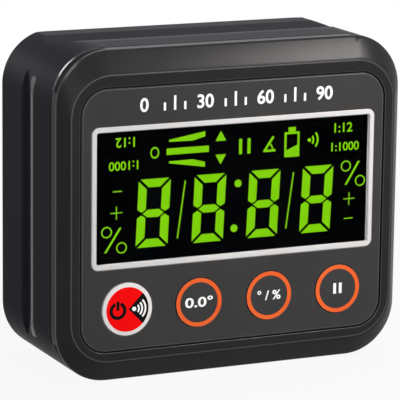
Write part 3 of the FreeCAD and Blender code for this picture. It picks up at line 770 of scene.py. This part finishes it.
# Round buzzer with a sound hole in a shallow dish
def buildBuzzer():
    low, high, centre = boxOf("buzzer")
    radius, tall = (high.x - low.x) / 2, high.y - low.y
    edge, hole, lip = buzzerLook["edge"], buzzerLook["hole"], buzzerLook["lip"]
    soft, dish, floor = 0.3 * edge, tall - buzzerLook["dishDepth"], tall - buzzerLook["holeDepth"]
    mesh = bmesh.new()
    turnedRing(mesh, [
        (0, 0), (radius, 0), (radius, tall - edge), (radius - soft, tall - soft), (radius - edge, tall),
        (hole + 3 * lip, tall), (hole + 2.4 * lip, dish), (hole + lip, dish), (hole + 0.6 * lip, tall),
        (hole, tall), (hole, floor), (0, floor),
    ], (centre.x, low.y, centre.z), (0, 1, 0))
    buzzer = shadedPiece(mesh, "round_buzzer", "buzzerShell", "root")
    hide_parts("buzzer")


buildBuzzer()
print("screws, magnets and buzzer built")


# Sizes in millimetres, from the lower left corner of each digit
digitLook = {"width": 6.42, "height": 12.8, "flatBar": 1.55, "uprightBar": 1.68, "mitre": 0.36, "tip": 0.26,
             "shoulder": 0.8, "middle": 0.495, "middleHalf": 0.73, "middleInset": 1.1, "middleCorner": 0.42,
             "slant": 0.045, "lefts": [-20.17, -8.88, 2.33, 13.46], "low": 25.17}
# Signs on the display, by their places across and up. A stroke has its ends and width, a band its centre,
# radius, width, start, sweep and steps, a dot its centre, radius and steps, a percent sign its two rings and
# two slash ends, and words their height, place and turn.
displayLook = {
    "thick": 0.05, "shift": (0.3, -0.16), "wordWeight": 0.012,
    "percentRing": 0.95, "percentLine": 0.23, "slashHalf": 0.22,
    "degreeRing": ((-16.46, 42.8), 0.88, 0.29, 0.86, 1.06),  # centre, radius, width and stretch
    "plates": [
        # level bars between two pointers
        [(-13.6, 44.62), (-13.6, 45.0), (-6.3, 46.15), (-6.3, 45.2), (-8.8, 44.55)],
        [(-14.1, 42.2), (-14.1, 43.4), (-5.54, 43.4), (-5.54, 42.2)],
        [(-13.6, 40.98), (-13.6, 40.62), (-6.3, 39.45), (-6.3, 40.4), (-8.8, 41.05)],
        [(-4.2, 44.1), (-3.12, 46.0), (-2.02, 44.1)],
        [(-4.2, 41.55), (-3.12, 39.7), (-2.02, 41.55)],
        # charge and pole of the battery sign
        [(10.46, 40.46), (12.75, 40.46), (12.75, 42.3), (10.46, 41.35)],
        [(10.85, 44.8), (12.35, 44.8), (12.35, 45.72), (10.85, 45.72)],
    ],
    "strokes": [
        # slashes between the digits
        ((-11.75, 26.35), (-10.25, 37.15), 0.27), ((10.62, 26.4), (12.05, 37.05), 0.27),
        # hold and slope signs
        ((0.95, 41.3), (0.95, 44.2), 0.62), ((2.68, 41.3), (2.68, 44.2), 0.62),
        ((5.7, 41.55), (8.2, 41.55), 0.45), ((5.82, 41.45), (7.75, 44.2), 0.45),
        # walls of the battery sign
        ((10.25, 40.04), (10.25, 44.8), 0.42), ((12.96, 40.04), (12.96, 44.8), 0.42),
        ((10.04, 40.25), (13.17, 40.25), 0.42), ((10.04, 44.59), (13.17, 44.59), 0.42),
        # plus and minus on the right, and again turned over on the left
        ((22.75, 31.1), (25.1, 31.1), 0.18), ((23.93, 29.9), (23.93, 32.3), 0.18),
        ((22.95, 27.3), (24.8, 27.3), 0.2),
        ((-25.2, 32.1), (-22.85, 32.1), 0.18), ((-24.02, 30.9), (-24.02, 33.3), 0.18),
        ((-24.8, 36.1), (-22.95, 36.1), 0.2),
    ],
    "bands": [
        ((5.85, 41.55), 1.75, 0.3, 0, 54, 10),  # angle of the slope sign
        ((14.9, 43.0), 1.2, 0.36, -38, 76, 14), ((14.9, 43.0), 2.1, 0.38, -39, 78, 18),  # sound waves
    ],
    "dots": [((0.54, 35.8), 0.73, 48), ((-0.17, 27.3), 0.73, 48), ((15.25, 43.0), 0.36, 24)],
    "percents": [((23.1, 37.45), (26.2, 34.45), (25.85, 38.25), (23.15, 33.85)),
                 ((-25.96, 28.6), (-22.96, 25.5), (-23.2, 29.3), (-26.2, 24.75))],
    "words": [("1:12", 1.9, 22.4, 45.0, 0), ("1:1000", 1.75, 22.85, 41.35, 0),
              ("1:12", 1.9, -22.35, 45.05, 180), ("1:1000", 1.75, -22.65, 40.75, 180)],
}


def addDigit(mesh, left, front, back):
    wide, tall = digitLook["width"], digitLook["height"]
    bar, post, mitre = digitLook["flatBar"], digitLook["uprightBar"], digitLook["mitre"]
    middle = tall * digitLook["middle"]
    half, inset, corner = digitLook["middleHalf"], digitLook["middleInset"], post + digitLook["middleCorner"]
    shapes = []
    for low, sign in ((tall, -1), (0, 1)):
        shapes.append([(mitre, low), (wide - mitre, low),
                       (wide - post - mitre, low + sign * bar), (post + mitre, low + sign * bar)])
        top = low + sign * mitre
        inner = low + sign * (bar + mitre)
        shoulder = middle - sign * digitLook["shoulder"]
        tip = middle - sign * digitLook["tip"]
        for side, edge in ((1, 0), (-1, wide)):
            shapes.append([(edge, top), (edge + side * post, inner), (edge + side * post, shoulder),
                           (edge + side * post * 0.52, tip), (edge, shoulder)])
    shapes.append([(inset, middle), (corner, middle + half), (wide - corner, middle + half),
                   (wide - inset, middle), (wide - corner, middle - half), (corner, middle - half)])
    low, slant = digitLook["low"], digitLook["slant"]
    for shape in shapes:
        plate(mesh, [(left + x + z * slant, low + z) for x, z in shape], front, back)


def addPercent(mesh, upperRing, lowerRing, slashTop, slashLow, front, back):
    for centre in (upperRing, lowerRing):
        band(mesh, centre, displayLook["percentRing"], displayLook["percentLine"], front, back)
    (topX, topZ), (lowX, lowZ), half = slashTop, slashLow, displayLook["slashHalf"]
    corners = [(lowX - half, lowZ), (lowX + half, lowZ), (topX + half, topZ), (topX - half, topZ)]
    plate(mesh, corners, front, back)


def buildDisplaySigns():
    mesh = bmesh.new()
    back = levels["glass"]
    front = back - displayLook["thick"]
    for left in digitLook["lefts"]:
        addDigit(mesh, left, front, back)
    for corners in displayLook["plates"]:
        plate(mesh, corners, front, back)
    for start, end, width in displayLook["strokes"]:
        stroke(mesh, start, end, width, front, back)
    for centre, radius, steps in displayLook["dots"]:
        disc(mesh, centre, radius, front, back, steps=steps)
    centre, radius, width, scaleX, scaleZ = displayLook["degreeRing"]
    stretch(mesh, band(mesh, centre, radius, width, front, back), centre, scaleX, scaleZ)
    for centre, radius, width, start, sweep, steps in displayLook["bands"]:
        band(mesh, centre, radius, width, front, back, start=start, sweep=sweep, steps=steps)
    for places in displayLook["percents"]:
        addPercent(mesh, *places, front, back)
    for words, height, x, z, turned in displayLook["words"]:
        numbers(mesh, words, height, x, z, front, back, weight=displayLook["wordWeight"], turned=turned)
    right, up = displayLook["shift"]
    bmesh.ops.translate(mesh, verts=mesh.verts, vec=Vector((right, 0, up)) * mm)
    pieceFrom(mesh, "display_signs", "signGlow", "root")


buildDisplaySigns()


paneLook = {"side": 0.03, "backGap": 0.09, "corner": 0.35, "edge": 0.12}


# Clear pane over the signs, with softly broken edges
def buildDisplayPane():
    low, high, centre = boxOf("display_window")
    side = paneLook["side"]
    low += Vector((side, 0, side))
    high -= Vector((side, paneLook["backGap"], side))
    mesh = bmesh.new()
    bmesh.ops.create_cube(mesh, size=1.0)
    bmesh.ops.scale(mesh, vec=(high - low) * mm, verts=mesh.verts)
    bmesh.ops.translate(mesh, vec=(low + high) / 2 * mm, verts=mesh.verts)
    deep = (high.y - low.y) / 2 * mm
    corners = [edge for edge in mesh.edges if abs(edge.verts[0].co.y - edge.verts[1].co.y) > deep]
    roundEdges(mesh, corners, paneLook["corner"], 5)
    roundEdges(mesh, [edge for edge in mesh.edges if onLevel(edge, low.y)], paneLook["edge"], 2)
    pane = pieceFrom(mesh, "display_pane", "paneGlass", "root")
    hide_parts("display_window")


buildDisplayPane()
print("display built")


# Face scale, in the place above the display. Each pitch has six steps, and ticks stand on some of them with
# a share of the height.
scaleLook = {"low": 50.5, "high": 53.2, "left": -18.6, "right": 18.2, "marks": ["0", "30", "60", "90"],
             "steps": 6, "ticks": {2: 0.55, 3: 1.0, 4: 0.55}, "tickWidth": 0.45, "print": 0.03,
             "weight": 0.022}


def buildFaceScale():
    mesh = bmesh.new()
    back = levels["face"]
    front = back - scaleLook["print"]
    low, left, marks = scaleLook["low"], scaleLook["left"], scaleLook["marks"]
    tall = scaleLook["high"] - low
    middle = (scaleLook["high"] + low) / 2
    pitch = (scaleLook["right"] - left) / (len(marks) - 1)
    for index, mark in enumerate(marks):
        numbers(mesh, mark, tall, left + index * pitch, middle, front, back, weight=scaleLook["weight"])
    for index in range(len(marks) - 1):
        for step, share in scaleLook["ticks"].items():
            x = left + index * pitch + step * pitch / scaleLook["steps"]
            stroke(mesh, (x, low), (x, low + tall * share), scaleLook["tickWidth"], front, back)
    pieceFrom(mesh, "face_scale", "whitePrint", "root")


buildFaceScale()
print("face scale built")


# Words on a key have a height, a weight and a width. The hold sign is two bars.
keyLook = {"edge": 0.14, "print": 0.03, "steps": 96, "radius": 4.7, "ledge": 2.5, "ringWidth": 0.79,
           "ringRadius": 4.24, "barWidth": 0.6,
           "words": {"zero": ("0.0°", 2.0, 0.022, 1.4), "mode": ("° / %", 1.9, 0.018, 1.05)}}


# Cap turned round its axis, with a rounded rim, a thin flange behind the cover and a closed back
def buildKeyCap(name, radius, finish):
    low, high, centre = boxOf(name + "_key")
    flange = (high.x - low.x) / 2
    front = levels["key"] + keyLook["print"]
    ledge = levels["cover"] + keyLook["ledge"]
    mesh = bmesh.new()
    turnedRing(mesh, [
        (0.0, front), (radius, front), (radius, ledge), (flange, ledge), (flange, high.y), (0.0, high.y),
    ], (centre.x, 0, centre.z), (0, 1, 0), steps=keyLook["steps"])
    axis = Vector((centre.x, front, centre.z)) * mm
    rim = [edge for edge in mesh.edges if onLevel(edge, front)
           and all(abs((vert.co - axis).length - radius * mm) < 1e-6 for vert in edge.verts)]
    roundEdges(mesh, rim, keyLook["edge"], 4)
    cap = pieceFrom(mesh, name + "_cap", finish, name + "_key", smooth=True)
    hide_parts(name + "_key")
    return centre.x, centre.z, front


powerLook = {"radius": 5.0, "red": 4.22, "apex": (0.22, 0.02), "wedge": 43.0, "signAt": -1.9, "hubAt": 1.35,
             "hub": 0.42, "waves": (0.95, 1.6, 2.27), "waveWidth": 0.34}


# Red disc with a black wedge that opens to the right, a power sign and waves, in three thin layers
def buildPowerKey():
    x, z, face = buildKeyCap("power", powerLook["radius"], "keyRim")
    first, second, third = (face - keyLook["print"] * share / 3 for share in (1, 2, 3))
    reach = powerLook["red"]
    red = bmesh.new()
    disc(red, (x, z), reach, first, face, steps=keyLook["steps"])
    pieceFrom(red, "power_disc", "redPrint", "power_key")
    black = bmesh.new()
    right, up = powerLook["apex"]
    corners = [(x + right, z + up)]
    for index in range(-9, 10):
        angle = math.radians(index * powerLook["wedge"] / 9)
        corners.append((x + reach * math.cos(angle), z + reach * math.sin(angle)))
    plate(black, corners, second, first)
    sign = x + powerLook["signAt"]
    band(black, (sign, z - 0.12), 1.36, 0.66, second, first, start=112, sweep=316, steps=40)
    stroke(black, (sign, z - 0.05), (sign, z + 1.65), 0.64, second, first)
    pieceFrom(black, "power_sign", "blackPrint", "power_key")
    white = bmesh.new()
    hub = (x + powerLook["hubAt"], z)
    disc(white, hub, powerLook["hub"], third, second, steps=24)
    for radius in powerLook["waves"]:
        band(white, hub, radius, powerLook["waveWidth"], third, second, start=-44, sweep=88, steps=18)
    pieceFrom(white, "power_waves", "whitePrint", "power_key")


def buildRingKey(name):
    x, z, face = buildKeyCap(name, keyLook["radius"], "keyPlastic")
    front = face - keyLook["print"]
    ring = bmesh.new()
    band(ring, (x, z), keyLook["ringRadius"], keyLook["ringWidth"], front, face, steps=keyLook["steps"])
    pieceFrom(ring, name + "_ring", "orangePrint", name + "_key")
    sign = bmesh.new()
    if name in keyLook["words"]:
        words, height, weight, wide = keyLook["words"][name]
        numbers(sign, words, height, x, z + 0.1, front, face, weight=weight, wide=wide)
    else:
        for spot in (x - 0.6, x + 0.6):
            stroke(sign, (spot, z - 0.95), (spot, z + 1.1), keyLook["barWidth"], front, face)
    pieceFrom(sign, name + "_sign", "whitePrint", name + "_key")


buildPowerKey()
for name in ("zero", "mode", "hold"):
    buildRingKey(name)
print("keys built")


studio = {"floorSize": 8.0, "floorShade": 0.35, "floorWhite": 0.92, "farWhite": 1.0, "ambient": 0.32}


# What the camera sees, also in reflections and through the pane
def visibleMask(tree):
    path = tree.nodes.new("ShaderNodeLightPath")
    seen = mathNode(tree, "MAXIMUM", path.outputs["Is Camera Ray"], path.outputs["Is Glossy Ray"])
    return mathNode(tree, "MAXIMUM", seen, path.outputs["Is Transmission Ray"])


def mixShader(tree, *sources):
    return addNode(tree, "MixShader", dict(enumerate(sources))).outputs[0]


def buildWorld():
    world = bpy.data.worlds.new("studio")
    world.use_nodes = True
    tree = world.node_tree
    tree.nodes.clear()
    whites = [addNode(tree, "Background", {"Color": (1, 1, 1, 1), "Strength": strength}).outputs[0]
              for strength in (studio["ambient"], 1.0)]
    addNode(tree, "OutputWorld", {"Surface": mixShader(tree, visibleMask(tree), *whites)})
    scene.world = world


def buildFloor():
    material, tree, shader, coords = startMaterial("floorPaper")
    shadeLow, shadeHigh = studio["floorShade"] - 0.01, studio["floorShade"]
    tone = rangeNode(tree, noiseNode(tree, coords, 40.0, 2.0), 0.0, 1.0, shadeLow, shadeHigh)
    joined = addNode(tree, "CombineColor", {"Red": tone, "Green": tone, "Blue": tone})
    feed(tree, shader, {"Base Color": joined.outputs[0], "Roughness": 0.9, "Specular IOR Level": 0.0})
    glow = tree.nodes.new("ShaderNodeEmission")
    distance = tree.nodes.new("ShaderNodeVectorMath")
    distance.operation = "LENGTH"
    feed(tree, distance, {0: coords})
    fade = rangeNode(tree, distance.outputs["Value"], 0.05, 0.3, studio["floorWhite"], studio["farWhite"])
    share = mathNode(tree, "MULTIPLY", fade, visibleMask(tree))
    surface = mixShader(tree, share, shader.outputs[0], glow.outputs[0])
    feed(tree, tree.nodes["Material Output"], {"Surface": surface})
    mesh = bmesh.new()
    bmesh.ops.create_grid(mesh, x_segments=1, y_segments=1, size=studio["floorSize"] / 2)
    bmesh.ops.translate(mesh, vec=(0, 0, -0.05 * mm), verts=mesh.verts)
    objectFrom(mesh, "floor", [material])


lamps = {
    "keyLamp": {"place": (0.096, -0.12, 0.145), "size": (0.04, 0.04), "power": 0.27,
                "colour": (1.0, 0.94, 0.91)},
    "frontLamp": {"place": (-0.24, -0.58, 0.13), "size": (0.5, 0.5), "power": 1.8},
    "edgeLamp": {"place": (0.205, -0.46, 0.155), "size": (0.1, 0.1), "power": 0.3,
                 "colour": (1.0, 0.98, 0.96)},
    "topLamp": {"place": (0.02, 0.06, 0.33), "size": (0.24, 0.06), "power": 0.26,
                "colour": (0.94, 0.95, 1.0)},
    # a glint on the edges, with no light on the flats
    "cornerLamp": {"place": (-0.218, -0.068, 0.285), "size": (0.15, 0.15), "power": 1.6, "glossOnly": True},
    "rearLamp": {"place": (-0.02, 0.75, 0.06), "size": (0.2, 0.2), "power": 4.2, "colour": (0.98, 0.98, 1.0)},
}


def buildLamps():
    aim = Vector((0, 0, 0.031))
    for name, look in lamps.items():
        light = bpy.data.lights.new(name, "AREA")
        light.shape = "RECTANGLE"
        light.size, light.size_y = look["size"]
        light.energy = look["power"]
        light.color = look.get("colour", (1.0, 1.0, 1.0))
        lamp = bpy.data.objects.new(name, light)
        lamp.location = look["place"]
        lamp.rotation_euler = (aim - Vector(look["place"])).to_track_quat("-Z", "Y").to_euler()
        lamp.visible_camera = False
        lamp.visible_diffuse = not look.get("glossOnly", False)
        scene.collection.objects.link(lamp)


# Camera to the left of the gauge and a little above it
cameraLook = {
    "place": (-0.22254, -0.47876, 0.14151),
    "right": (0.90806925, -0.41865146, 0.01188265),
    "up": (0.07615861, 0.19295635, 0.97824727),
    "forward": (0.41183748, 0.88741129, -0.20710164),
    "lens": 254.64,
    "sensor": 36.0,
}


def buildCamera():
    data = bpy.data.cameras.new("camera")
    data.sensor_width = cameraLook["sensor"]
    data.lens = cameraLook["lens"]
    data.clip_start = 0.01
    camera = bpy.data.objects.new("camera", data)
    right, up, forward = (Vector(cameraLook[way]) for way in ("right", "up", "forward"))
    turn = Matrix((right, up, -forward)).transposed().to_4x4()
    camera.matrix_world = Matrix.Translation(cameraLook["place"]) @ turn
    scene.collection.objects.link(camera)
    scene.camera = camera


buildWorld()
buildFloor()
buildLamps()
buildCamera()
scene.view_settings.view_transform = "Standard"
print("studio built")
